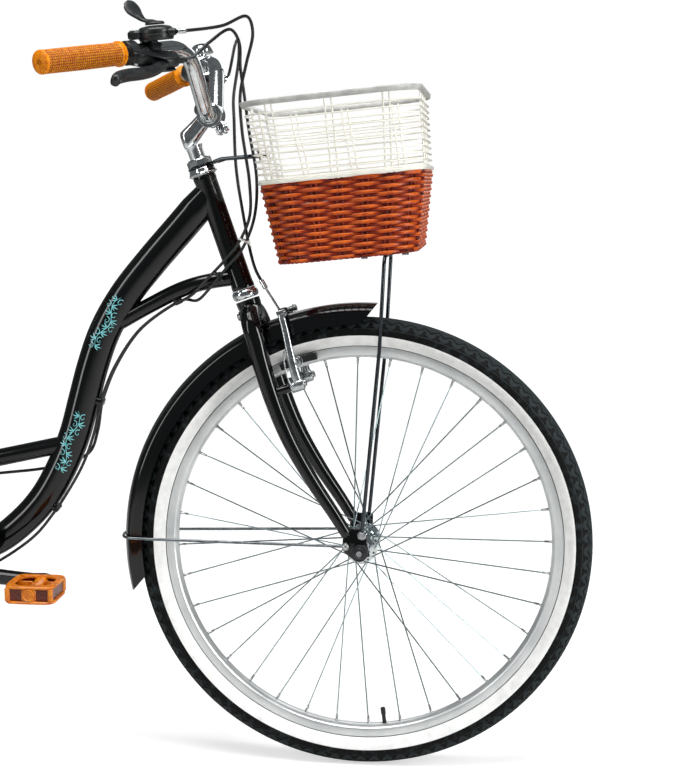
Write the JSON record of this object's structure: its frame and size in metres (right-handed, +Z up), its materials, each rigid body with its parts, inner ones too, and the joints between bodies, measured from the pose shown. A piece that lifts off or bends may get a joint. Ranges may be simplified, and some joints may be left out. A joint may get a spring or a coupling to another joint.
{
  "type": "bicycle",
  "caption": "Black step-through city bicycle with a front basket, swept-back handlebar, fenders, linear-pull brakes and a rear stand.",
  "frame": {"origin": "on the ground, under the middle of the bicycle's length and on its middle plane", "axes": "+X forwards, +Y to the rider's left, +Z up"},
  "size_m": [1.7262, 0.6374, 1.0724],
  "materials": {
    "gloss_black_paint": "gloss",
    "chrome": "polished",
    "alloy": "satin",
    "dark_steel": "satin",
    "black_plastic": "satin",
    "black_rubber": "matte",
    "brown_rubber": "satin",
    "brown_resin": "gloss",
    "brown_leather": "satin",
    "cream_wire": "gloss",
    "rattan": "satin"
  },
  "bodies": {
    "frame": {"frame_main_tube": "gloss_black_paint", "frame_seat_tube": "gloss_black_paint", "frame_chain_stays": "gloss_black_paint", "frame_seat_stays": "gloss_black_paint", "headset_lower_cup": "chrome", "headset_upper_cup": "chrome", "rear_axle": "dark_steel", "chain": "dark_steel", "rear_fender": "gloss_black_paint", "seat_clamp": "chrome", "shift_cable": "black_plastic", "rear_brake_cable": "black_plastic"},
    "steering": {"fork": "gloss_black_paint", "front_axle": "dark_steel", "handlebar": "chrome", "stem": "chrome", "headset_locknut": "chrome", "grip_right": "brown_rubber", "grip_left": "brown_rubber", "brake_bracket_right": "black_plastic", "brake_bracket_left": "black_plastic", "shifter_body": "black_plastic", "bell": "chrome", "basket_lower": "rattan", "basket_upper": "cream_wire", "basket_bracket": "dark_steel", "basket_stays": "dark_steel", "front_fender": "gloss_black_paint", "front_fender_stay": "dark_steel", "front_brake_cable": "black_plastic"},
    "front_wheel": {"front_tyre": "black_rubber", "front_inner_tube": "black_rubber", "front_rim": "alloy", "front_hub_and_spokes": "chrome"},
    "rear_wheel": {"rear_tyre": "black_rubber", "rear_inner_tube": "black_rubber", "rear_rim": "alloy", "rear_hub_and_spokes": "chrome"},
    "crank": {"crank_left": "gloss_black_paint", "crank_right": "gloss_black_paint"},
    "pedal_right": {"pedal_right": "brown_resin"},
    "pedal_left": {"pedal_left": "brown_resin"},
    "sprocket": {"sprocket": "dark_steel"},
    "brake_lever_right": {"brake_lever_right": "black_plastic"},
    "brake_lever_left": {"brake_lever_left": "black_plastic"},
    "front_brake_arm_right": {"front_brake_arm_right": "alloy", "front_brake_pad_right": "black_rubber"},
    "front_brake_arm_left": {"front_brake_arm_left": "alloy", "front_brake_pad_left": "black_rubber"},
    "rear_brake_arm_right": {"rear_brake_arm_right": "alloy"},
    "rear_brake_arm_left": {"rear_brake_arm_left": "alloy"},
    "shift_lever": {"shift_lever": "black_plastic"},
    "bell_striker": {"bell_striker": "chrome"},
    "seat": {"seat_post": "chrome", "saddle_rails": "dark_steel", "saddle_pan": "black_plastic", "saddle_cushion": "brown_leather", "saddle_spring_right": "chrome", "saddle_spring_left": "chrome"},
    "stand": {"stand": "gloss_black_paint"}
  },
  "joints": [
    {"name": "steering", "type": "hinge", "parent": "frame", "child": "steering", "pos_m": [0.36427, 0, 0.68984], "axis": [-0.3322, 0, 0.9432], "range_deg": [-60, 60], "deforming": ["rear_brake_cable", "shift_cable"]},
    {"name": "front_wheel_spin", "type": "hinge", "parent": "steering", "child": "front_wheel", "pos_m": [0.53675, 0, 0.3265], "axis": [0, 1, 0], "continuous": true},
    {"name": "rear_wheel_spin", "type": "hinge", "parent": "frame", "child": "rear_wheel", "pos_m": [-0.51625, 0, 0.3265], "axis": [0, 1, 0], "continuous": true},
    {"name": "crank_spin", "type": "hinge", "parent": "frame", "child": "crank", "pos_m": [-0.07338, 0, 0.283], "axis": [0, 1, 0], "continuous": true},
    {"name": "pedal_right_spin", "type": "hinge", "parent": "crank", "child": "pedal_right", "pos_m": [0.09662, -0.105, 0.283], "axis": [0, 1, 0], "continuous": true},
    {"name": "pedal_left_spin", "type": "hinge", "parent": "crank", "child": "pedal_left", "pos_m": [-0.24338, 0.105, 0.283], "axis": [0, 1, 0], "continuous": true},
    {"name": "sprocket_spin", "type": "hinge", "parent": "frame", "child": "sprocket", "pos_m": [-0.51625, 0, 0.3265], "axis": [0, 1, 0], "continuous": true},
    {"name": "brake_lever_right_pull", "type": "hinge", "parent": "steering", "child": "brake_lever_right", "pos_m": [0.29211, -0.1764, 0.99327], "axis": [-0.3414, 0.3848, -0.8576], "range_deg": [0, 17], "stiffness_Nm_per_rad": 1.2, "springref_deg": -20.05},
    {"name": "brake_lever_left_pull", "type": "hinge", "parent": "steering", "child": "brake_lever_left", "pos_m": [0.29576, 0.16081, 0.988], "axis": [0.5566, 0.5011, 0.6626], "range_deg": [0, 17], "stiffness_Nm_per_rad": 1.2, "springref_deg": -20.05},
    {"name": "front_brake_arm_right_pivot", "type": "hinge", "parent": "steering", "child": "front_brake_arm_right", "pos_m": [0.44899, -0.049, 0.56064], "axis": [-0.9432, 0, -0.3322], "range_deg": [0, 2.7]},
    {"name": "front_brake_arm_left_pivot", "type": "hinge", "parent": "steering", "child": "front_brake_arm_left", "pos_m": [0.44899, 0.049, 0.56064], "axis": [0.9432, 0, 0.3322], "range_deg": [0, 2.7]},
    {"name": "rear_brake_arm_right_pivot", "type": "hinge", "parent": "frame", "child": "rear_brake_arm_right", "pos_m": [-0.37338, -0.049, 0.53496], "axis": [-0.7332, 0, 0.68], "range_deg": [0, 2.7]},
    {"name": "rear_brake_arm_left_pivot", "type": "hinge", "parent": "frame", "child": "rear_brake_arm_left", "pos_m": [-0.37338, 0.049, 0.53496], "axis": [0.7332, 0, -0.68], "range_deg": [0, 2.7]},
    {"name": "shift_lever_turn", "type": "hinge", "parent": "steering", "child": "shift_lever", "pos_m": [0.27935, -0.17552, 1.03991], "axis": [-0.0797, -0.1144, 0.9902], "range_deg": [0, 40]},
    {"name": "bell_striker_flick", "type": "hinge", "parent": "steering", "child": "bell_striker", "pos_m": [0.27856, 0.15038, 1.02568], "axis": [-0.0797, 0.1144, 0.9902], "range_deg": [0, 30], "stiffness_Nm_per_rad": 0.02, "springref_deg": -11.46},
    {"name": "seat_height", "type": "slide", "parent": "frame", "child": "seat", "axis": [-0.3338, 0, 0.9426], "range_m": [-0.08, 0.1]},
    {"name": "stand_swing", "type": "hinge", "parent": "frame", "child": "stand", "pos_m": [-0.51625, 0, 0.3265], "axis": [0, 1, 0], "range_deg": [0, 84]}
  ],
  "couplings": [
    {"joint": "sprocket_spin", "follows": "crank_spin", "ratio": 2.2222},
    {"joint": "front_brake_arm_right_pivot", "follows": "brake_lever_left_pull", "ratio": 0.155},
    {"joint": "front_brake_arm_left_pivot", "follows": "brake_lever_left_pull", "ratio": 0.155},
    {"joint": "rear_brake_arm_right_pivot", "follows": "brake_lever_right_pull", "ratio": 0.155},
    {"joint": "rear_brake_arm_left_pivot", "follows": "brake_lever_right_pull", "ratio": 0.155}
  ]
}
